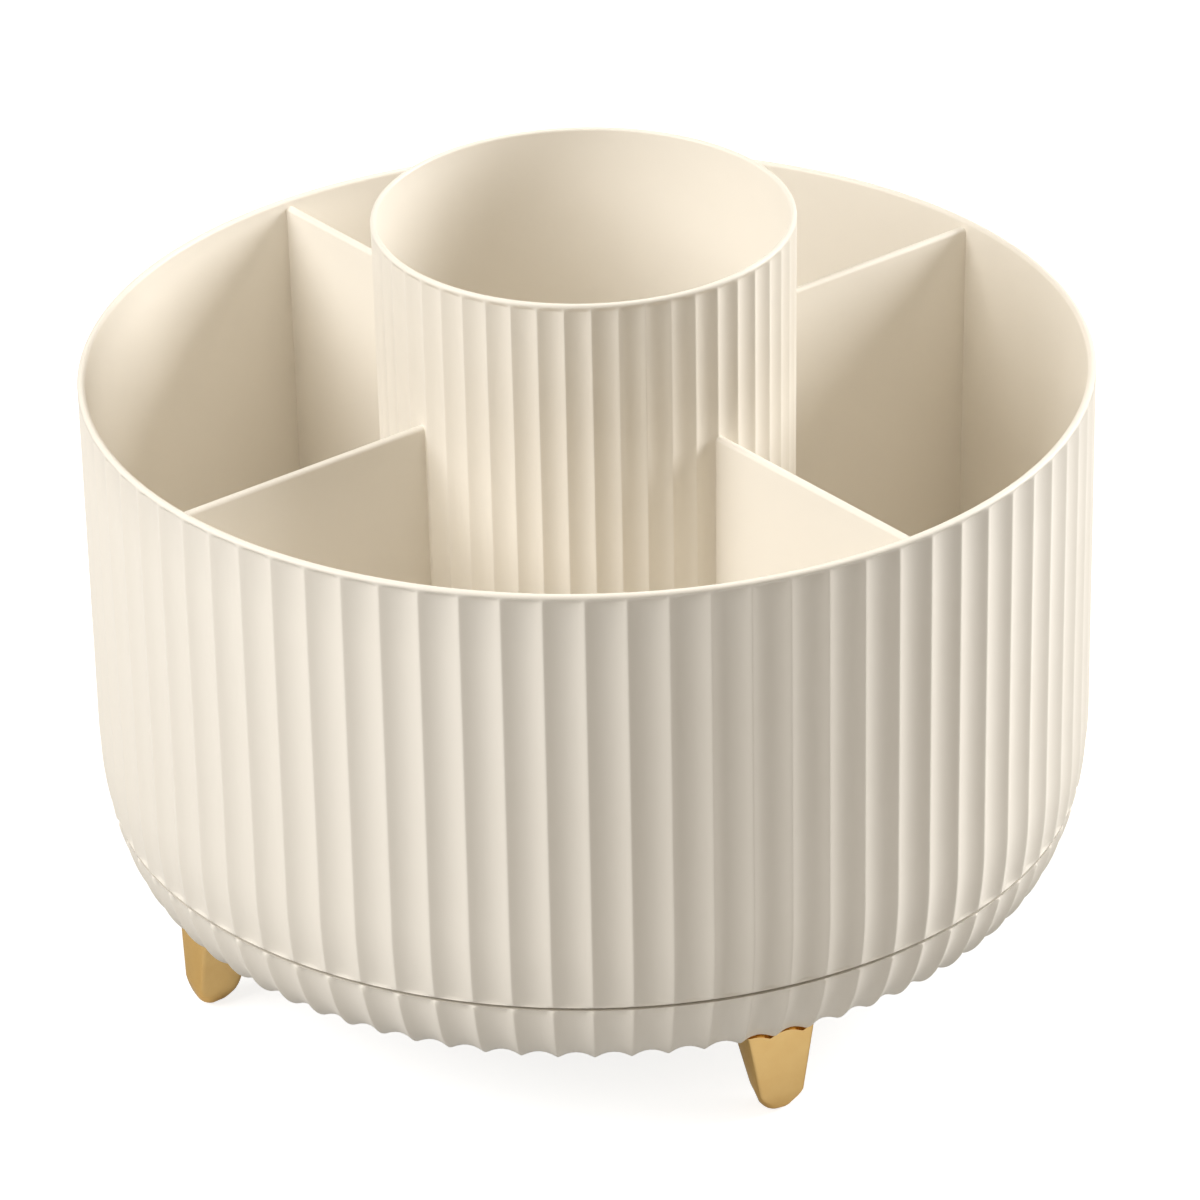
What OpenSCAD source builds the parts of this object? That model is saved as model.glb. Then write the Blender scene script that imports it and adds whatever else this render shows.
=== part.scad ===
// Turntable desk organizer. A drum with a centre cup and four fins turns on a ring of steel
// balls above a shallow base tray, and the tray stands on four plated feet.
// Origin: centre of the plane that the feet rest on. +Z is up and the front faces -Y.
// An azimuth is measured from the front, -Y, towards +X.

/* [Drum] */
// Outer radius of the drum at its rim
drum_r = 80; // [76:0.5:90]
// Height of the drum's rim above the table
drum_top = 100; // [85:1:115]
// Thickness of the drum's wall
wall_t = 2.2; // [1.8:0.1:2.4]
// Thickness of the drum's floor
floor_t = 2.5; // [2:0.1:3]

/* [Cup and fins] */
// Outer radius of the centre cup at its rim
cup_r = 33.2; // [28:0.1:38]
// Height of the cup's rim above the table
cup_top = 125; // [118:1:140]
// Wall thickness of the cup, its floor and the fins
fin_t = 1.8; // [1.4:0.1:2.4]
// Drop from the drum's rim to the top edges of the fins
fin_drop = 1.3; // [0.5:0.1:10]
// Azimuth of the first fin
fin_turn = 38; // [0:1:89]

/* [Base] */
// Clear height under the base tray
leg_h = 15; // [12:1:18]
// Height of the base tray, from its underside to its edge
tray_h = 12.5; // [12:0.1:13.5]
// Thickness of the tray's wall and floor
tray_t = 2.2; // [2:0.1:2.4]
// Gap between the tray's edge and the drum
seam_gap = 0.6; // [0.3:0.1:0.8]

/* [Feet] */
// Azimuth of the first foot
foot_turn = 23.4; // [0:0.2:89]
// Distance from the rim in to the middle of a foot's top
foot_inset = 14.9; // [14.7:0.1:17]
// Width of a foot at its top, along the tray's edge
foot_w = 12; // [10:0.2:12]
// Depth of a foot at its top, in and out
foot_d = 11.2; // [10:0.2:11.4]

/* [Bearing] */
// Radius of a ball
ball_r = 3; // [2.8:0.1:3]
// Radius of the circle that the balls run on
race_r = 50; // [44:1:56]
// Radius of the drum's spindle
spindle_r = 8; // [7:0.5:9]
// Radial clearance of the spindle in its hub
spindle_play = 0.06; // [0.03:0.01:0.1]

/* [Hidden] */
$fn = 96;

// Parts of one moulding overlap by eps, and cutters run past a face by over.
eps = 0.01;
over = 1;

cream = [0.95, 0.92, 0.86];
gold = [0.86, 0.68, 0.36];
steel = [0.72, 0.73, 0.75];
nylon = [0.93, 0.93, 0.9];

// The outside is straight above the bend and a quarter of an ellipse below it.
bend_r = 9.6;
bend_h = 25.5;
bend_top = leg_h + bend_h;
bend_steps = 10;
draft_r = 0.26;

// Heights of the tray's edge, the drum's lower edge and both sides of the drum's floor.
tray_top = leg_h + tray_h;
drum_low = tray_top + seam_gap;
floor_low = leg_h + 16.5;
floor_top = floor_low + floor_t;

// The ball centres lie halfway between the two races.
ball_count = 12;
ball_z = leg_h + 9;
ball_play = 0.1;
groove_r = ball_r + 0.3;
race_half_w = 6.5;
race_gap = 2;
cage_half_w = 4;
cage_half_t = 1.2;
pocket_r = ball_r + 0.15;

// A hub on the tray holds the spindle, and its recess holds the washer and the screw's head.
hub_r = 13;
hub_top = leg_h + 12.5;
recess_r = 11.4;
recess_h = 5;
spindle_low = leg_h + recess_h - 0.2;
washer_r = 10.6;
washer_t = 1.4;
screw_r = 1.9;
screw_length = 11;
pilot_play = 0.05;

// A skirt under the drum's floor overlaps the tray's edge from inside.
skirt_inset = 4.8;
skirt_r = drum_r - skirt_inset;
skirt_t = 1.6;
skirt_low = leg_h + 10.5;

// A foot ends in a socket in the tray, under a boss that takes its screw's head.
foot_pitch_r = drum_r - foot_inset;
foot_outer_corner = 0.7;
foot_inner_corner = 2;
foot_inner_taper = 0.9;
foot_tip_r = 3.1;
foot_tip_shift = 2.4;
foot_tip_lift = 0.2;
foot_flat_r = 1.4;
foot_flat_h = 0.1;
foot_sunk = 1.8;
socket_play = 0.1;
boss_w = 14;
boss_d = 12;
boss_h = 5.5;
foot_screw_r = 1.25;
foot_screw_length = 11;
foot_screw_shift = 0.9;

// The fins start inside the cup's wall and end just short of the drum's wall and floor.
fin_end_gap = 0.5;
fin_foot_gap = 0.2;
fin_end_r = drum_r - draft_r - wall_t - fin_end_gap;

// Radius of the outside at height z.
function outside_r(z) =
    z >= bend_top
        ? drum_r - draft_r * (drum_top - z) / (drum_top - bend_top)
        : drum_r - draft_r - bend_r + bend_r * sqrt(1 - pow((bend_top - z) / bend_h, 2));

// Points along the outside from height a up to height b, moved in by an inset.
function outside(a, b, inset) =
    [for (i = [0:bend_steps]) let (z = a + (b - a) * i / bend_steps) [outside_r(z) - inset, z]];

function reversed(list) = [for (i = [len(list) - 1:-1:0]) list[i]];

module ring(r_out, r_in, z_low, z_high) {
    rotate_extrude()
        translate([r_in, z_low])
            square([r_out - r_in, z_high - z_low]);
}

// Cutter for a race's groove. Its deepest point clears the balls by ball_play.
module groove(side) {
    translate([0, 0, ball_z - side * (groove_r - ball_r - ball_play)])
        rotate_extrude()
            translate([race_r, 0])
                circle(r = groove_r, $fn = 48);
}

// A pan-head screw with a cross recess. Its head's bearing face is at z = 0 and it points to +Z.
module pan_screw(shank_r, length) {
    head_r = shank_r * 2;
    head_h = shank_r * 1.15;
    slot_w = shank_r * 0.5;
    slot_l = head_r * 1.1;
    slot_depth = head_h * 0.6;
    difference() {
        union() {
            cylinder(r = shank_r, h = length - shank_r);
            translate([0, 0, length - shank_r])
                cylinder(r1 = shank_r, r2 = shank_r * 0.2, h = shank_r);
            rotate_extrude()
                polygon([
                    [0, 0], [head_r, 0], [head_r, -head_h * 0.35],
                    [head_r * 0.85, -head_h * 0.8], [head_r * 0.5, -head_h], [0, -head_h]
                ]);
        }
        for (turn = [0, 90])
            rotate(turn)
                translate([-slot_l / 2, -slot_w / 2, -head_h - over])
                    cube([slot_l, slot_w, slot_depth + over]);
    }
}

// The turning drum: wall, floor, upper race, skirt and spindle in one moulding.
module tub() {
    color(cream)
        difference() {
            union() {
                rotate_extrude()
                    polygon(concat(
                        outside(drum_low, bend_top, 0),
                        [[drum_r, drum_top], [drum_r - wall_t, drum_top]],
                        reversed(outside(floor_top, bend_top, wall_t)),
                        [[0, floor_top], [0, floor_low]],
                        [[outside_r(floor_low) - wall_t, floor_low]],
                        [[outside_r(drum_low) - wall_t, drum_low]]
                    ));
                ring(skirt_r, skirt_r - skirt_t, skirt_low, floor_low + eps);
                ring(race_r + race_half_w, race_r - race_half_w, ball_z + race_gap, floor_low + eps);
                translate([0, 0, spindle_low])
                    cylinder(r = spindle_r, h = floor_low + eps - spindle_low);
            }
            groove(1);
            translate([0, 0, spindle_low - over])
                cylinder(r = screw_r + pilot_play, h = screw_length + over);
        }
}

// The centre cup and its four fins, which divide the drum into five compartments.
module divider_insert() {
    color(cream) {
        difference() {
            translate([0, 0, floor_top])
                cylinder(r = cup_r, h = cup_top - floor_top);
            translate([0, 0, floor_top + fin_t])
                cylinder(r = cup_r - fin_t, h = cup_top - floor_top);
        }
        for (k = [0:3])
            rotate(fin_turn + 90 * k)
                fin();
    }
}

// One fin, from inside the cup's wall to just short of the drum's wall.
module fin() {
    inner_r = cup_r - fin_t / 2;
    translate([-fin_t / 2, -fin_end_r, floor_top + fin_foot_gap])
        cube([fin_t, fin_end_r - inner_r, drum_top - fin_drop - floor_top - fin_foot_gap]);
}

// The base tray: floor, curved wall, lower race, hub and four foot sockets.
module base_tray() {
    boss_low = leg_h + tray_t - over;
    color(cream)
        difference() {
            union() {
                rotate_extrude()
                    polygon(concat(
                        [[0, leg_h]],
                        outside(leg_h, tray_top, 0),
                        reversed(outside(leg_h + tray_t, tray_top, tray_t)),
                        [[0, leg_h + tray_t]]
                    ));
                ring(race_r + race_half_w, race_r - race_half_w, leg_h + tray_t - eps, ball_z - race_gap);
                translate([0, 0, leg_h])
                    cylinder(r = hub_r, h = hub_top - leg_h);
                for (k = [0:3])
                    rotate(foot_turn + 90 * k)
                        translate([-boss_w / 2, -foot_pitch_r - boss_d / 2, boss_low])
                            cube([boss_w, boss_d, leg_h + boss_h - boss_low]);
            }
            groove(-1);
            translate([0, 0, leg_h - over])
                cylinder(r = recess_r, h = recess_h + over);
            translate([0, 0, leg_h])
                cylinder(r = spindle_r + spindle_play, h = hub_top - leg_h + over);
            for (k = [0:3])
                rotate(foot_turn + 90 * k)
                    translate([0, -foot_pitch_r, 0])
                        foot_socket();
        }
}

// Cutter for one foot's socket and the hole for its screw.
module foot_socket() {
    width = foot_w + 2 * socket_play;
    depth = foot_d + 2 * socket_play;
    translate([-width / 2, -depth / 2, leg_h - over])
        cube([width, depth, foot_sunk + over + eps]);
    translate([0, -foot_screw_shift, 0])
        cylinder(r = foot_screw_r + pilot_play * 2, h = leg_h + boss_h + over);
}

// A corner post of a foot's top, at x across the foot and y outwards from its middle.
module foot_post(x, y, r) {
    translate([x, -y, leg_h])
        cylinder(r = r, h = foot_sunk, $fn = 24);
}

// A foot tapers from a top that is wider on its outer side to a round tip with a small flat.
module foot(azimuth) {
    outer = foot_outer_corner;
    inner = foot_inner_corner;
    outer_x = foot_w / 2 - outer;
    inner_x = foot_w / 2 * foot_inner_taper - inner;
    color(gold)
        rotate(azimuth)
            translate([0, -foot_pitch_r, 0])
                difference() {
                    hull() {
                        for (side = [-1, 1]) {
                            foot_post(side * outer_x, foot_d / 2 - outer, outer);
                            foot_post(side * inner_x, inner - foot_d / 2, inner);
                        }
                        translate([0, -foot_tip_shift, foot_tip_r + foot_tip_lift])
                            sphere(r = foot_tip_r, $fn = 24);
                        translate([0, -foot_tip_shift, 0])
                            cylinder(r = foot_flat_r, h = foot_flat_h, $fn = 24);
                    }
                    translate([0, -foot_screw_shift, leg_h + boss_h - foot_screw_length - over])
                        cylinder(r = foot_screw_r + pilot_play, h = foot_screw_length);
                }
}

module front_right_foot() {
    foot(foot_turn);
}

module rear_right_foot() {
    foot(foot_turn + 90);
}

module rear_left_foot() {
    foot(foot_turn + 180);
}

module front_left_foot() {
    foot(foot_turn + 270);
}

// Four screws, driven down from inside the tray into the feet.
module foot_screws() {
    color(steel)
        for (k = [0:3])
            rotate(foot_turn + 90 * k)
                translate([0, -foot_pitch_r - foot_screw_shift, leg_h + boss_h])
                    rotate([180, 0, 0])
                        pan_screw(foot_screw_r, foot_screw_length);
}

// A flat ring that snaps over the balls and keeps them evenly spaced.
module ball_cage() {
    color(nylon)
        difference() {
            ring(race_r + cage_half_w, race_r - cage_half_w, ball_z - cage_half_t, ball_z + cage_half_t);
            for (i = [0:ball_count - 1])
                rotate(i * 360 / ball_count)
                    translate([0, -race_r, ball_z])
                        sphere(r = pocket_r, $fn = 48);
        }
}

module ball(number) {
    color(steel)
        rotate((number - 1) * 360 / ball_count)
            translate([0, -race_r, ball_z])
                sphere(r = ball_r, $fn = 48);
}

// The washer and the screw that hold the spindle in the hub. They turn with the drum.
module spindle_washer() {
    color(steel)
        translate([0, 0, spindle_low - washer_t])
            difference() {
                cylinder(r = washer_r, h = washer_t);
                translate([0, 0, -over])
                    cylinder(r = screw_r + 2 * pilot_play, h = washer_t + 2 * over);
            }
}

module spindle_screw() {
    color(steel)
        translate([0, 0, spindle_low - washer_t])
            pan_screw(screw_r, screw_length);
}

tub();
divider_insert();
base_tray();
front_right_foot();
rear_right_foot();
rear_left_foot();
front_left_foot();
foot_screws();
ball_cage();
ball(1);  // ball_01
ball(2);  // ball_02
ball(3);  // ball_03
ball(4);  // ball_04
ball(5);  // ball_05
ball(6);  // ball_06
ball(7);  // ball_07
ball(8);  // ball_08
ball(9);  // ball_09
ball(10);  // ball_10
ball(11);  // ball_11
ball(12);  // ball_12
spindle_washer();
spindle_screw();
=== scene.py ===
"""A turntable desk organizer: a fluted drum on a ball race over a shallow tray with four plated feet."""
import math

import bmesh
import bpy
from mathutils import Matrix, Vector


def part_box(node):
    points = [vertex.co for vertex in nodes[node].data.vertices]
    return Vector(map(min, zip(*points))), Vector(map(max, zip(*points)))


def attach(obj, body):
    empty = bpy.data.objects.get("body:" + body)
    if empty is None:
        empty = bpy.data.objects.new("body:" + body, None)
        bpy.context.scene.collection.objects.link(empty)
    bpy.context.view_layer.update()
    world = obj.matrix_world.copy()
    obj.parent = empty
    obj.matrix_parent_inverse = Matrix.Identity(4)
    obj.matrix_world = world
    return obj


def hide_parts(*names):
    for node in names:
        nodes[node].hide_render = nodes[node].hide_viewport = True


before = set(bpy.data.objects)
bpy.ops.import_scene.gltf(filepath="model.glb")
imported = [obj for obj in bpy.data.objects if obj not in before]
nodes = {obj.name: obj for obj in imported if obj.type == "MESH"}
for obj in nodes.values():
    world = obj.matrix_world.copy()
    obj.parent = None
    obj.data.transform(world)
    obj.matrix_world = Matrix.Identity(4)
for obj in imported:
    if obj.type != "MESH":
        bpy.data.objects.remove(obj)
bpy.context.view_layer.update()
mm = 0.001


# ---- Feet -------------------------------------------------------------------------------
# Four tapered feet, injection-moulded in ABS and electroplated in a polished light gold.
# Each has a flat face outwards, a round back and a round tip, and is screwed up into the tray.
foot_names = ["front_right_foot", "rear_right_foot", "rear_left_foot", "front_left_foot"]
foot_azimuth = math.radians(23.4)
foot_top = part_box("front_right_foot")[1].z
foot_tip_h = 3.7 * mm
foot_tip_r = 67.5 * mm
foot_outer = (71.0 * mm, 70.7 * mm)
foot_inner = (64.5 * mm, 59.5 * mm)
foot_outer_w = (6.2 * mm, 12.0 * mm)
foot_inner_w = (4.8 * mm, 10.8 * mm)
foot_outer_corner = 0.7 * mm
foot_inner_corner = 2.0 * mm
tip_corner_growth = 3 * mm
tip_depth_power = 2.3
tip_width_power = 2.1
tip_flat_share = 0.01


def add_surface_variation():
    """A group that every finish here uses: soft patches of tone, and a fine grain for the bump."""
    group = bpy.data.node_groups.new("surface_variation", "ShaderNodeTree")
    face = group.interface
    for name, kind, default in (
        ("Colour", "NodeSocketColor", (0.8, 0.8, 0.8, 1)),
        ("Second Colour", "NodeSocketColor", (0.7, 0.7, 0.7, 1)),
        ("Patch Scale", "NodeSocketFloat", 40.0),
        ("Grain Scale", "NodeSocketFloat", 2500.0),
        ("Low Roughness", "NodeSocketFloat", 0.3),
        ("High Roughness", "NodeSocketFloat", 0.4),
    ):
        socket = face.new_socket(name, in_out="INPUT", socket_type=kind)
        socket.default_value = default
    face.new_socket("Colour", in_out="OUTPUT", socket_type="NodeSocketColor")
    face.new_socket("Roughness", in_out="OUTPUT", socket_type="NodeSocketFloat")
    face.new_socket("Height", in_out="OUTPUT", socket_type="NodeSocketFloat")

    new = group.nodes.new
    link = group.links.new
    given = new("NodeGroupInput")
    result = new("NodeGroupOutput")
    place = new("ShaderNodeTexCoord")
    patches = new("ShaderNodeTexNoise")
    patches.inputs["Detail"].default_value = 4.0
    patches.inputs["Roughness"].default_value = 0.6
    grain = new("ShaderNodeTexNoise")
    grain.inputs["Detail"].default_value = 3.0
    spread = new("ShaderNodeMapRange")
    spread.inputs["From Min"].default_value = 0.3
    spread.inputs["From Max"].default_value = 0.7
    tone = new("ShaderNodeMix")
    tone.data_type = "RGBA"
    sheen = new("ShaderNodeMapRange")
    link(place.outputs["Object"], patches.inputs["Vector"])
    link(place.outputs["Object"], grain.inputs["Vector"])
    link(given.outputs["Patch Scale"], patches.inputs["Scale"])
    link(given.outputs["Grain Scale"], grain.inputs["Scale"])
    link(patches.outputs["Fac"], spread.inputs["Value"])
    link(spread.outputs["Result"], tone.inputs["Factor"])
    link(given.outputs["Colour"], tone.inputs["A"])
    link(given.outputs["Second Colour"], tone.inputs["B"])
    link(spread.outputs["Result"], sheen.inputs["Value"])
    link(given.outputs["Low Roughness"], sheen.inputs["To Min"])
    link(given.outputs["High Roughness"], sheen.inputs["To Max"])
    link(tone.outputs["Result"], result.inputs["Colour"])
    link(sheen.outputs["Result"], result.inputs["Roughness"])
    link(grain.outputs["Fac"], result.inputs["Height"])
    return group


surface_variation = add_surface_variation()


def new_finish(name, colour, second, patch_scale, grain_scale, rough, bump, bump_distance):
    """A material whose colour, roughness and bump come from the surface_variation group."""
    finish = bpy.data.materials.new(name)
    finish.use_nodes = True
    tree = finish.node_tree
    shader = tree.nodes["Principled BSDF"]
    varied = tree.nodes.new("ShaderNodeGroup")
    varied.node_tree = surface_variation
    varied.inputs["Colour"].default_value = (*colour, 1)
    varied.inputs["Second Colour"].default_value = (*second, 1)
    varied.inputs["Patch Scale"].default_value = patch_scale
    varied.inputs["Grain Scale"].default_value = grain_scale
    varied.inputs["Low Roughness"].default_value = rough[0]
    varied.inputs["High Roughness"].default_value = rough[1]
    relief = tree.nodes.new("ShaderNodeBump")
    relief.inputs["Strength"].default_value = bump
    relief.inputs["Distance"].default_value = bump_distance
    tree.links.new(varied.outputs["Colour"], shader.inputs["Base Color"])
    tree.links.new(varied.outputs["Roughness"], shader.inputs["Roughness"])
    tree.links.new(varied.outputs["Height"], relief.inputs["Height"])
    tree.links.new(relief.outputs["Normal"], shader.inputs["Normal"])
    return finish, shader


gold_plating, gold_shader = new_finish(
    "gold_plating",
    colour=(0.93, 0.64, 0.27),
    second=(0.88, 0.58, 0.23),
    patch_scale=160.0,
    grain_scale=900.0,
    rough=(0.10, 0.18),
    bump=0.10,
    bump_distance=0.05 * mm,
)
gold_shader.inputs["Metallic"].default_value = 1.0
gold_shader.inputs["Specular Tint"].default_value = (1.0, 0.86, 0.62, 1)


def new_piece(name, bm, finish, smooth_angle=35.0):
    """Turns a bmesh into an object of its own, smooth except across edges sharper than smooth_angle."""
    mesh = bpy.data.meshes.new(name)
    bm.to_mesh(mesh)
    bm.free()
    mesh.materials.append(finish)
    mesh.shade_smooth()
    mesh.set_sharp_from_angle(angle=math.radians(smooth_angle))
    piece = bpy.data.objects.new(name, mesh)
    bpy.context.scene.collection.objects.link(piece)
    return piece


def rounded_corner(x, r, corner, start, steps=6):
    """Points round one corner of an outline, a quarter turn from the start angle in degrees."""
    turns = [math.radians(start + 90 * i / steps) for i in range(steps + 1)]
    return [(x + corner * math.cos(a), r + corner * math.sin(a)) for a in turns]


def foot_outline(z, grow):
    """A foot's outline at one height, in (x, radius): wider on its outer side, and round at its tip."""
    rise = min(1.0, z / foot_top)
    tip = min(1.0, tip_flat_share + (1 - tip_flat_share) * z / foot_tip_h)
    deep = (1 - (1 - tip) ** tip_depth_power) ** (1 / tip_depth_power)
    wide = (1 - (1 - tip) ** tip_width_power) ** (1 / tip_width_power)
    outer = foot_tip_r + deep * (foot_outer[0] + rise * (foot_outer[1] - foot_outer[0]) - foot_tip_r) + grow
    inner = foot_tip_r + deep * (foot_inner[0] + rise * (foot_inner[1] - foot_inner[0]) - foot_tip_r) - grow
    outer_x = wide * (foot_outer_w[0] + rise * (foot_outer_w[1] - foot_outer_w[0])) / 2 + grow
    inner_x = wide * (foot_inner_w[0] + rise * (foot_inner_w[1] - foot_inner_w[0])) / 2 + grow
    most = 0.48 * min(outer - inner, 2 * inner_x)
    near = min(foot_outer_corner + tip_corner_growth * (1 - tip), most)
    far = min(foot_inner_corner, most)
    return (
        rounded_corner(outer_x - near, outer - near, near, 0)
        + rounded_corner(near - outer_x, outer - near, near, 90)
        + rounded_corner(far - inner_x, inner + far, far, 180)
        + rounded_corner(inner_x - far, inner + far, far, 270)
    )


def foot_shape(grow=0.0):
    """One foot at the front, or with grow its socket's cutter, extruded upwards outline by outline."""
    heights = [foot_tip_h * (1 - math.cos(math.radians(90 * i / 10))) for i in range(11)]
    heights += [foot_tip_h + (foot_top - foot_tip_h) * i / 4 for i in range(1, 5)]
    bm = bmesh.new()
    order = bm.verts.layers.int.new("order")
    top = bm.faces.new([bm.verts.new((x, -r, 0)) for x, r in foot_outline(0, grow)])
    for i, v in enumerate(bm.verts):
        v[order] = i
    for z in heights[1:]:
        grown = bmesh.ops.extrude_face_region(bm, geom=[top])
        top = next(g for g in grown["geom"] if isinstance(g, bmesh.types.BMFace))
        outline = foot_outline(z, grow)
        for v in top.verts:
            x, r = outline[v[order]]
            v.co = Vector((x, -r, z))
    bmesh.ops.recalc_face_normals(bm, faces=bm.faces)
    return bm


feet = []
for quarter, name in enumerate(foot_names):
    bm = foot_shape()
    turn = Matrix.Rotation(foot_azimuth + quarter * math.pi / 2, 3, "Z")
    bmesh.ops.rotate(bm, verts=bm.verts, cent=(0, 0, 0), matrix=turn)
    foot = new_piece(name + "_plated", bm, gold_plating)
    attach(foot, "base")
    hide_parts(name)
    feet.append(foot)


# ---- Base tray --------------------------------------------------------------------------
# A shallow dish in cream ABS, injection-moulded in one shot with its lower ball race, hub and
# foot bosses. The drum's flutes carry on over its curved wall and fade out underneath.
tray_low, tray_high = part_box("base_tray")
tub_low, tub_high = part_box("tub")
drum_r = max(tub_high.x, tub_high.y)
drum_top = tub_high.z
tray_bottom = tray_low.z
tray_top = tray_high.z
flute_count = 80
flute_turn = math.radians(-0.75)
flute_depth = 0.8 * mm
flute_fade_r = 67.5 * mm
flute_fade_w = 3.5 * mm
skin_near = 0.05 * mm
bend_h = 25.5 * mm
bend_top = tray_bottom + bend_h
bend_r = 9.6 * mm
draft_r = 0.26 * mm
tray_t = 2.2 * mm
tray_edge_t = 1.9 * mm
tray_floor = tray_bottom + tray_t
ball_z = tray_bottom + 9 * mm
race_r = 50 * mm
race_half_w = 6.5 * mm
race_gap = 2 * mm
groove_r = 3.3 * mm
groove_shift = 0.2 * mm
hub_r = 13 * mm
hub_top = tray_bottom + 12.5 * mm
bore_r = 8.06 * mm
recess_r = 11.4 * mm
recess_h = 5 * mm
edge_r = 0.3 * mm

cream_plastic, cream_shader = new_finish(
    "cream_plastic",
    colour=(0.92, 0.872, 0.785),
    second=(0.905, 0.855, 0.764),
    patch_scale=28.0,
    grain_scale=3200.0,
    rough=(0.38, 0.46),
    bump=0.10,
    bump_distance=0.03 * mm,
)
cream_shader.inputs["IOR"].default_value = 1.5


def outside_r(z):
    """Radius of the outside over the crests: a light draft above the bend, a quarter ellipse below."""
    if z >= bend_top:
        return drum_r - draft_r * (drum_top - z) / (drum_top - bend_top)
    return drum_r - draft_r - bend_r + bend_r * math.sqrt(max(0.0, 1 - ((bend_top - z) / bend_h) ** 2))


def outward(r, z):
    """Unit direction straight out of the outside at (r, z), as (radial, vertical)."""
    if z >= bend_top:
        return 1.0, 0.0
    flat = (r - (drum_r - draft_r - bend_r)) / bend_r ** 2
    drop = (z - bend_top) / bend_h ** 2
    size = math.hypot(flat, drop)
    return flat / size, drop / size


def arc(centre_r, centre_z, radius, start, end, steps):
    """Points of an arc in the (radius, height) plane, from one angle in degrees to another."""
    turns = [math.radians(start + (end - start) * i / steps) for i in range(steps + 1)]
    return [(centre_r + radius * math.cos(a), centre_z + radius * math.sin(a)) for a in turns]


def smooth_step(x):
    """Runs smoothly from 0 to 1 as x does, and stays there."""
    x = min(1.0, max(0.0, x))
    return x * x * (3 - 2 * x)


def turned_with_flutes(points, closed, count, turn, depth, fluted):
    """Spins an outline round +Z and presses concave flutes into the parts that fluted() gives a share.

    One flute's width is spun first, its columns are drawn in to the flute's hollow between two
    slightly rounded crests, and it is then spun on as copies. fluted(r, z) returns (share of the
    depth, radial part, vertical part)."""
    columns = [0.0, 0.02, 0.05, 0.1, 0.2, 0.34, 0.5, 0.66, 0.8, 0.9, 0.95, 0.98, 1.0]
    crest = 0.03
    pitch = 2 * math.pi / count
    bm = bmesh.new()
    chain = [bm.verts.new((0, -r, z)) for r, z in points]
    for a, b in zip(chain, chain[1:]):
        bm.edges.new((a, b))
    if closed:
        bm.edges.new((chain[-1], chain[0]))
    bmesh.ops.rotate(bm, verts=bm.verts, cent=(0, 0, 0), matrix=Matrix.Rotation(turn, 3, "Z"))
    steps = len(columns) - 1
    bmesh.ops.spin(bm, geom=bm.verts[:] + bm.edges[:], cent=(0, 0, 0), axis=(0, 0, 1),
                   angle=pitch, steps=steps, use_duplicate=False)
    for v in bm.verts:
        r = math.hypot(v.co.x, v.co.y)
        if r < 1e-6:
            continue
        across = (math.atan2(v.co.x, -v.co.y) - turn) % (2 * math.pi)
        column = round(across / pitch * steps) % (count * steps)
        part = columns[column]
        share, radial, vertical = fluted(r, v.co.z)
        away = math.hypot(min(part, 1 - part), crest) - crest
        away *= 0.5 / (math.hypot(0.5, crest) - crest)
        hollow = depth * share * 4 * away * (1 - away)
        azimuth = turn + part * pitch
        r -= hollow * radial
        v.co = Vector((r * math.sin(azimuth), -r * math.cos(azimuth), v.co.z - hollow * vertical))
    bmesh.ops.spin(bm, geom=bm.verts[:] + bm.edges[:] + bm.faces[:], cent=(0, 0, 0), axis=(0, 0, 1),
                   angle=pitch * (count - 1), steps=count - 1, use_duplicate=True)
    bmesh.ops.remove_doubles(bm, verts=bm.verts, dist=1e-6)
    bmesh.ops.recalc_face_normals(bm, faces=bm.faces)
    return bm


def bend_points(low, high, inset, steps):
    """Points up the outside from one height to another, moved in by an inset."""
    heights = [low + (high - low) * (i / steps) ** 1.6 for i in range(steps + 1)]
    return [(outside_r(z) - inset, z) for z in heights]


def skin_z(r):
    """Height of the outside at a radius where it has turned under."""
    return bend_top - bend_h * math.sqrt(1 - (max(0.0, r - (drum_r - draft_r - bend_r)) / bend_r) ** 2)


def tray_share(r):
    """How much of the flutes' depth is left where the tray turns under."""
    return smooth_step((r - flute_fade_r) / flute_fade_w)


def tray_flutes(r, z):
    """The tray's flutes run down its curved wall and fade out where it turns under."""
    if abs(r - outside_r(z)) > skin_near or z > tray_top + 0.001 * mm:
        return 0.0, 0.0, 0.0
    return (tray_share(r), *outward(r, z))


wall_in = outside_r(tray_top) - tray_edge_t
tray_outline = (
    [(recess_r, tray_bottom), (62 * mm, tray_bottom), (66 * mm, tray_bottom), (68.5 * mm, tray_bottom)]
    + bend_points(tray_bottom, tray_top - edge_r, 0, 16)
    + [(outside_r(tray_top) - edge_r, tray_top), (wall_in + edge_r, tray_top), (wall_in, tray_top - edge_r)]
    + [(outside_r(tray_floor + 4 * mm) - tray_t, tray_floor + 4 * mm)]
    + [(outside_r(tray_floor + 1.5 * mm) - tray_t - 1 * mm, tray_floor + 0.6 * mm)]
    + [(66 * mm, tray_floor), (race_r + race_half_w, tray_floor)]
    + [(race_r + race_half_w, ball_z - race_gap)]
    + arc(race_r, ball_z + groove_shift, groove_r, -43, -137, 10)
    + [(race_r - race_half_w, ball_z - race_gap), (race_r - race_half_w, tray_floor), (hub_r, tray_floor)]
    + [(hub_r, hub_top), (bore_r, hub_top)]
    + [(bore_r, tray_bottom + recess_h), (recess_r, tray_bottom + recess_h)]
)
tray_bm = turned_with_flutes(tray_outline, True, flute_count, flute_turn, flute_depth, tray_flutes)
base_tray = new_piece("base_tray_fluted", tray_bm, cream_plastic, smooth_angle=50)


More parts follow.
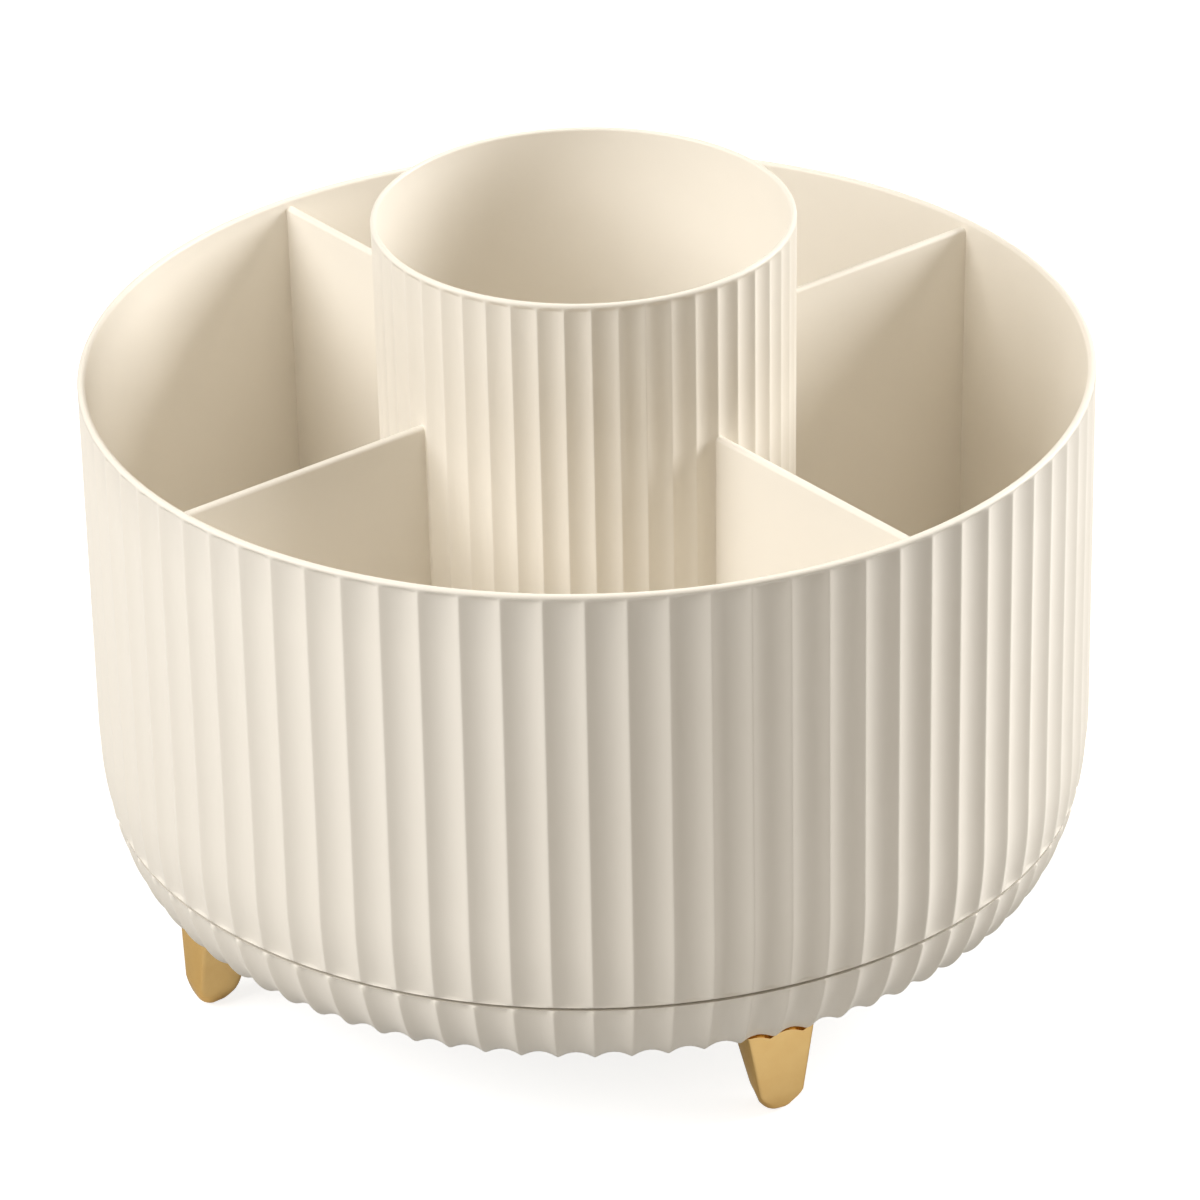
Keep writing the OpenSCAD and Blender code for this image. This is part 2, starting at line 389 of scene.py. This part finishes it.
def cut_away(piece, cutter):
    """Cuts one mesh out of another for good, and deletes the cutter."""
    cut = piece.modifiers.new("cut", "BOOLEAN")
    cut.operation = "DIFFERENCE"
    cut.solver = "EXACT"
    cut.object = cutter
    bpy.context.view_layer.update()
    seen = piece.evaluated_get(bpy.context.evaluated_depsgraph_get())
    mesh = bpy.data.meshes.new_from_object(seen)
    piece.modifiers.clear()
    piece.data = mesh
    bpy.data.objects.remove(cutter)


# Each foot's socket is a little larger than the foot.
socket_play = 0.35 * mm
for quarter in range(4):
    bm = foot_shape(grow=socket_play)
    above = bmesh.ops.bisect_plane(bm, geom=bm.verts[:] + bm.edges[:] + bm.faces[:], clear_inner=True,
                                   plane_co=(0, 0, tray_bottom - 2 * mm), plane_no=(0, 0, 1), dist=1e-6)
    rim = [g for g in above["geom_cut"] if isinstance(g, bmesh.types.BMEdge)]
    bmesh.ops.holes_fill(bm, edges=rim, sides=0)
    bmesh.ops.recalc_face_normals(bm, faces=bm.faces)
    turn = Matrix.Rotation(foot_azimuth + quarter * math.pi / 2, 3, "Z")
    bmesh.ops.rotate(bm, verts=bm.verts, cent=(0, 0, 0), matrix=turn)
    cut_away(base_tray, new_piece("socket_cutter", bm, cream_plastic))
base_tray.data.shade_smooth()
base_tray.data.set_sharp_from_angle(angle=math.radians(50))


def scribe_flutes(r, z):
    """The flutes' share over the lower side of the feet's scribing cutter, pressed straight up."""
    return (tray_share(r) if z < tray_bottom + 0.6 * mm else 0.0), 0.0, -1.0


# The front of each foot's top follows the tray's flutes at a small distance, which leaves a dark
# line between the two.
scribe_gap = 0.75 * mm
scribe_in = 69.6 * mm
scribe_radii = [scribe_in, 70.14 * mm, 70.5 * mm, 70.9 * mm, 71.3 * mm, 71.8 * mm, 72.3 * mm]
scribe_top = foot_top + 1 * mm
scribe_outline = [(scribe_in, scribe_top)] + [(r, skin_z(r) - scribe_gap) for r in scribe_radii]
scribe_outline += [(scribe_radii[-1], scribe_top)]
for foot in feet:
    bm = turned_with_flutes(scribe_outline, True, flute_count, flute_turn, flute_depth, scribe_flutes)
    cut_away(foot, new_piece("scribe_cutter", bm, gold_plating))
    foot.data.shade_smooth()
    foot.data.set_sharp_from_angle(angle=math.radians(35))
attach(base_tray, "base")
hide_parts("base_tray")


# ---- Foot screws ------------------------------------------------------------------------
# Four zinc-plated self-tapping screws with cross-recessed pan heads hold the feet from inside
# the tray. They stay as the construction gives them and only take their finish.
zinc_steel, zinc_shader = new_finish(
    "zinc_steel",
    colour=(0.62, 0.64, 0.66),
    second=(0.54, 0.56, 0.58),
    patch_scale=420.0,
    grain_scale=2600.0,
    rough=(0.24, 0.38),
    bump=0.2,
    bump_distance=0.03 * mm,
)
zinc_shader.inputs["Metallic"].default_value = 1.0


def dress(node, finish):
    """Gives a piece that keeps its constructed shape its finish."""
    mesh = nodes[node].data
    mesh.materials.clear()
    mesh.materials.append(finish)


dress("foot_screws", zinc_steel)


# ---- Ball race --------------------------------------------------------------------------
# Twelve polished bearing-steel balls sit in a flat snap-on ring of natural nylon and roll
# between the tray's groove and the drum's.
nylon, nylon_shader = new_finish(
    "nylon_cage",
    colour=(0.80, 0.79, 0.74),
    second=(0.74, 0.73, 0.67),
    patch_scale=90.0,
    grain_scale=1800.0,
    rough=(0.42, 0.55),
    bump=0.15,
    bump_distance=0.05 * mm,
)
nylon_shader.inputs["Subsurface Weight"].default_value = 0.15
nylon_shader.inputs["Subsurface Scale"].default_value = 1.0 * mm
ball_steel, ball_shader = new_finish(
    "polished_steel",
    colour=(0.74, 0.75, 0.76),
    second=(0.68, 0.69, 0.70),
    patch_scale=600.0,
    grain_scale=5000.0,
    rough=(0.05, 0.12),
    bump=0.02,
    bump_distance=0.02 * mm,
)
ball_shader.inputs["Metallic"].default_value = 1.0
dress("ball_cage", nylon)
for node in sorted(nodes):
    if node.startswith("ball_") and node != "ball_cage":
        dress(node, ball_steel)


# ---- Spindle fixing ---------------------------------------------------------------------
# A turned steel washer and a zinc-plated screw hold the drum's spindle in the tray's hub.
# Both sit in the recess in the middle of the underside and turn with the drum.
dress("spindle_washer", zinc_steel)
dress("spindle_screw", zinc_steel)


# ---- Drum -------------------------------------------------------------------------------
# The turning tub in the same cream ABS: fluted outside, smooth inside, with a thin plain lip.
# Its floor, upper race, skirt and spindle are moulded with it.
seam_gap = 0.6 * mm
drum_low = tray_top + seam_gap
floor_low = tray_bottom + 16.5 * mm
floor_top = floor_low + 2.5 * mm
lip_h = 0.5 * mm
lip_blend = 0.9 * mm
edge_blend = 1.3 * mm
edge_fade = 0.12
rim_t = 1.3 * mm
corner_r = 3 * mm
skirt_r = drum_r - 4.8 * mm
skirt_t = 1.6 * mm
skirt_low = tray_bottom + 10.5 * mm
spindle_r = 8 * mm
spindle_low = tray_bottom + recess_h - 0.2 * mm
pilot_r = 1.95 * mm
pilot_top = spindle_low + 11 * mm
wall_t = 2.2 * mm


def drum_flutes(r, z):
    """The drum's flutes end in small arches under its lip and get slightly shallower at its lower edge."""
    if abs(r - outside_r(z)) > skin_near or z > drum_top - lip_h:
        return 0.0, 0.0, 0.0
    below_lip = smooth_step((drum_top - lip_h - z) / lip_blend)
    above_edge = smooth_step((z - drum_low - edge_r) / edge_blend)
    return (below_lip * (1 - edge_fade * (1 - above_edge)), *outward(r, z))


rim_r = drum_r - rim_t / 2
corner_wall = outside_r(floor_top + corner_r) - wall_t
drum_heights = [drum_top - lip_h - lip_blend * i / 6 for i in range(7)]
drum_heights += [drum_top - 12 * mm, bend_top + 4 * mm]
ramp_top = drum_low + edge_r + edge_blend
drum_heights += [bend_top - (bend_top - ramp_top) * i / 7 for i in range(7)]
drum_heights += [ramp_top - edge_blend * i / 6 for i in range(7)]
drum_outline = (
    [(0, floor_top), (40 * mm, floor_top)]
    + arc(corner_wall - corner_r, floor_top + corner_r, corner_r, -90, 0, 6)
    + [(outside_r(bend_top) - wall_t, bend_top), (drum_r - rim_t, drum_top - rim_t / 2)]
    + arc(rim_r, drum_top - rim_t / 2, rim_t / 2, 180, 0, 10)[1:]
    + [(outside_r(z), z) for z in drum_heights]
    + [(outside_r(drum_low) - edge_r, drum_low), (outside_r(drum_low) - wall_t + edge_r, drum_low)]
    + [(outside_r(drum_low) - wall_t, floor_low), (skirt_r, floor_low), (skirt_r, skirt_low)]
    + [(skirt_r - skirt_t, skirt_low), (skirt_r - skirt_t, floor_low), (race_r + race_half_w, floor_low)]
    + [(race_r + race_half_w, ball_z + race_gap)]
    + arc(race_r, ball_z - groove_shift, groove_r, 43, 137, 10)
    + [(race_r - race_half_w, ball_z + race_gap), (race_r - race_half_w, floor_low), (spindle_r, floor_low)]
    + [(spindle_r, spindle_low), (pilot_r, spindle_low), (pilot_r, pilot_top), (0, pilot_top)]
)
drum_bm = turned_with_flutes(drum_outline, False, flute_count, flute_turn, flute_depth, drum_flutes)
drum = new_piece("tub_fluted", drum_bm, cream_plastic, smooth_angle=50)
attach(drum, "drum")
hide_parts("tub")


# ---- Centre cup -------------------------------------------------------------------------
# The tall cup in the middle, finely fluted outside and smooth inside, with the same thin lip.
# It is one moulding with the fins, bonded to the drum's floor.
insert_low, insert_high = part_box("divider_insert")
cup_r = 33.2 * mm
cup_top = insert_high.z
cup_flutes = 50
cup_turn = math.radians(1.5)
cup_depth = 0.5 * mm
cup_t = 1.8 * mm
cup_rim_t = 1.0 * mm
cup_lean = 0.7 * mm
cup_corner = 3 * mm


def cup_outside(z):
    """Radius over the crests of the cup's flutes, which lean out a little towards the rim."""
    return cup_r - cup_lean * (cup_top - z) / (cup_top - floor_top)


def cup_skin(r, z):
    """The cup's flutes run from the floor to its lip."""
    if abs(r - cup_outside(z)) > skin_near or z > cup_top - lip_h:
        return 0.0, 0.0, 0.0
    return smooth_step((cup_top - lip_h - z) / lip_blend), 1.0, 0.0


cup_floor = floor_top + cup_t
cup_in = cup_outside(cup_floor) - cup_t
cup_outline = (
    [(0, cup_floor)]
    + arc(cup_in - cup_corner, cup_floor + cup_corner, cup_corner, -90, 0, 6)
    + arc(cup_r - cup_rim_t / 2, cup_top - cup_rim_t / 2, cup_rim_t / 2, 180, 0, 10)
    + [(cup_outside(z), z) for z in [cup_top - lip_h - lip_blend * i / 6 for i in range(7)]]
    + [(cup_outside(z), z) for z in (floor_top + 30 * mm, floor_top)]
    + [(0, floor_top)]
)
cup_bm = turned_with_flutes(cup_outline, False, cup_flutes, cup_turn, cup_depth, cup_skin)
cup = new_piece("centre_cup_fluted", cup_bm, cream_plastic, smooth_angle=50)
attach(cup, "drum")
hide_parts("divider_insert")


# ---- Fins -------------------------------------------------------------------------------
# Four thin upright fins from the cup to the drum's wall. They thin a little towards their
# rounded top edges, as a moulding has to so that it leaves its mould.
fin_turn = math.radians(38)
fin_top = drum_top - 1.3 * mm
fin_low_t = 2.0 * mm
fin_high_t = 1.5 * mm
fin_edge = 0.6 * mm
fin_names = ["fin_front_right", "fin_rear_right", "fin_rear_left", "fin_front_left"]


def drum_inside(z):
    """Radius of the drum's inner wall."""
    if z < bend_top:
        return outside_r(z) - wall_t
    rise = (z - bend_top) / (drum_top - bend_top)
    return outside_r(bend_top) - wall_t + rise * (drum_r - rim_t - outside_r(bend_top) + wall_t)


def fin_shape():
    """One fin at the front: its outline is a face, extruded to its thickness, thinned and bevelled."""
    reach = 0.15 * mm
    inner = cup_outside(floor_top) - 1.0 * mm
    heights = [floor_top + (bend_top - floor_top) * i / 4 for i in range(5)] + [fin_top]
    outer = [(drum_inside(z) + reach, z) for z in heights]
    outline = [(inner, floor_top)] + outer + [(inner, fin_top)]
    bm = bmesh.new()
    side = bm.faces.new([bm.verts.new((-fin_low_t / 2, -r, z)) for r, z in outline])
    other = bmesh.ops.extrude_face_region(bm, geom=[side])
    moved = [g for g in other["geom"] if isinstance(g, bmesh.types.BMVert)]
    bmesh.ops.translate(bm, verts=moved, vec=(fin_low_t, 0, 0))
    for v in bm.verts:
        rise = (v.co.z - floor_top) / (fin_top - floor_top)
        v.co.x *= 1 - rise * (1 - fin_high_t / fin_low_t)
    bmesh.ops.recalc_face_normals(bm, faces=bm.faces)
    top_edges = [
        e for e in bm.edges
        if all(abs(v.co.z - fin_top) < 0.01 * mm for v in e.verts)
        and abs(e.verts[0].co.y - e.verts[1].co.y) > 1 * mm
    ]
    bmesh.ops.bevel(bm, geom=top_edges, offset=fin_edge, offset_type="OFFSET", segments=4,
                    affect="EDGES", profile=0.5, material=-1)
    return bm


for quarter, name in enumerate(fin_names):
    bm = fin_shape()
    turn = Matrix.Rotation(fin_turn + quarter * math.pi / 2, 3, "Z")
    bmesh.ops.rotate(bm, verts=bm.verts, cent=(0, 0, 0), matrix=turn)
    fin = new_piece(name, bm, cream_plastic)
    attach(fin, "drum")
    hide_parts("divider_insert")


# ---- Studio -----------------------------------------------------------------------------
# A pale seamless floor, a wide soft light on the left, a second on the right and a weak one
# overhead, and a long-lens camera above the front. The floor glows a little, less in reflections.
floor_glow_seen = 0.8
floor_glow_reflected = 0.15
floor_mat = bpy.data.materials.new("studio_floor")
floor_mat.use_nodes = True
floor_tree = floor_mat.node_tree
floor_shader = floor_tree.nodes["Principled BSDF"]
floor_shader.inputs["Base Color"].default_value = (0.5, 0.5, 0.5, 1)
floor_shader.inputs["Roughness"].default_value = 0.9
floor_shader.inputs["Specular IOR Level"].default_value = 0.0
floor_shader.inputs["Emission Color"].default_value = (1, 1, 0.995, 1)
floor_path = floor_tree.nodes.new("ShaderNodeLightPath")
floor_seen = floor_tree.nodes.new("ShaderNodeMath")
floor_seen.operation = "MULTIPLY"
floor_seen.inputs[1].default_value = floor_glow_seen
floor_lift = floor_tree.nodes.new("ShaderNodeMath")
floor_lift.operation = "MULTIPLY_ADD"
floor_lift.inputs[1].default_value = floor_glow_reflected
floor_tree.links.new(floor_path.outputs["Is Camera Ray"], floor_seen.inputs[0])
floor_tree.links.new(floor_path.outputs["Is Glossy Ray"], floor_lift.inputs[0])
floor_tree.links.new(floor_seen.outputs["Value"], floor_lift.inputs[2])
floor_tree.links.new(floor_lift.outputs["Value"], floor_shader.inputs["Emission Strength"])
floor_bm = bmesh.new()
bmesh.ops.create_grid(floor_bm, x_segments=2, y_segments=2, size=6.0)
studio_floor = new_piece("studio_floor", floor_bm, floor_mat)

world = bpy.data.worlds.new("studio")
world.use_nodes = True
bpy.context.scene.world = world
world_tree = world.node_tree
sky = world_tree.nodes["Background"]
sky_path = world_tree.nodes.new("ShaderNodeLightPath")
sky_colour = world_tree.nodes.new("ShaderNodeMix")
sky_colour.data_type = "RGBA"
sky_colour.inputs["A"].default_value = (0.225, 0.193, 0.150, 1)
sky_colour.inputs["B"].default_value = (1, 1, 1, 1)
world_tree.links.new(sky_path.outputs["Is Camera Ray"], sky_colour.inputs["Factor"])
world_tree.links.new(sky_colour.outputs["Result"], sky.inputs["Color"])


def soft_light(name, azimuth, elevation, distance, size, power, tint=(1, 1, 1)):
    """A square soft light aimed at the organizer. Azimuth counts from the front towards the right."""
    lamp = bpy.data.lights.new(name, "AREA")
    lamp.shape = "SQUARE"
    lamp.size = size
    lamp.energy = power
    lamp.color = tint
    light = bpy.data.objects.new(name, lamp)
    a = math.radians(azimuth)
    e = math.radians(elevation)
    way = Vector((math.sin(a) * math.cos(e), -math.cos(a) * math.cos(e), math.sin(e)))
    light.location = Vector((0, 0, 0.06)) + way * distance
    light.rotation_mode = "QUATERNION"
    light.rotation_quaternion = way.to_track_quat("Z", "Y")
    bpy.context.scene.collection.objects.link(light)


soft_light("left_key", -64, 38, 1.0, 0.7, 8.3)
soft_light("right_fill", 106, 22, 1.0, 0.5, 9.2)
soft_light("overhead", 170, 82, 1.0, 0.8, 3.6, (1.0, 0.96, 0.90))

camera_data = bpy.data.cameras.new("camera")
camera_data.sensor_width = 36.0
camera_data.lens = 206.5
camera = bpy.data.objects.new("camera", camera_data)
camera_y = -0.97367
camera_z = 0.57442
tilt = 0.4886
pan = 0.0014
roll = -0.0205
ahead = Vector((math.sin(pan) * math.cos(tilt), math.cos(pan) * math.cos(tilt), -math.sin(tilt)))
level = ahead.cross(Vector((0, 0, 1))).normalized()
upright = level.cross(ahead)
right_way = math.cos(roll) * level + math.sin(roll) * upright
up_way = -math.sin(roll) * level + math.cos(roll) * upright
camera.matrix_world = Matrix((
    (right_way.x, up_way.x, -ahead.x, 0.0),
    (right_way.y, up_way.y, -ahead.y, camera_y),
    (right_way.z, up_way.z, -ahead.z, camera_z),
    (0, 0, 0, 1),
))
bpy.context.scene.collection.objects.link(camera)
bpy.context.scene.camera = camera
bpy.context.scene.view_settings.view_transform = "Standard"
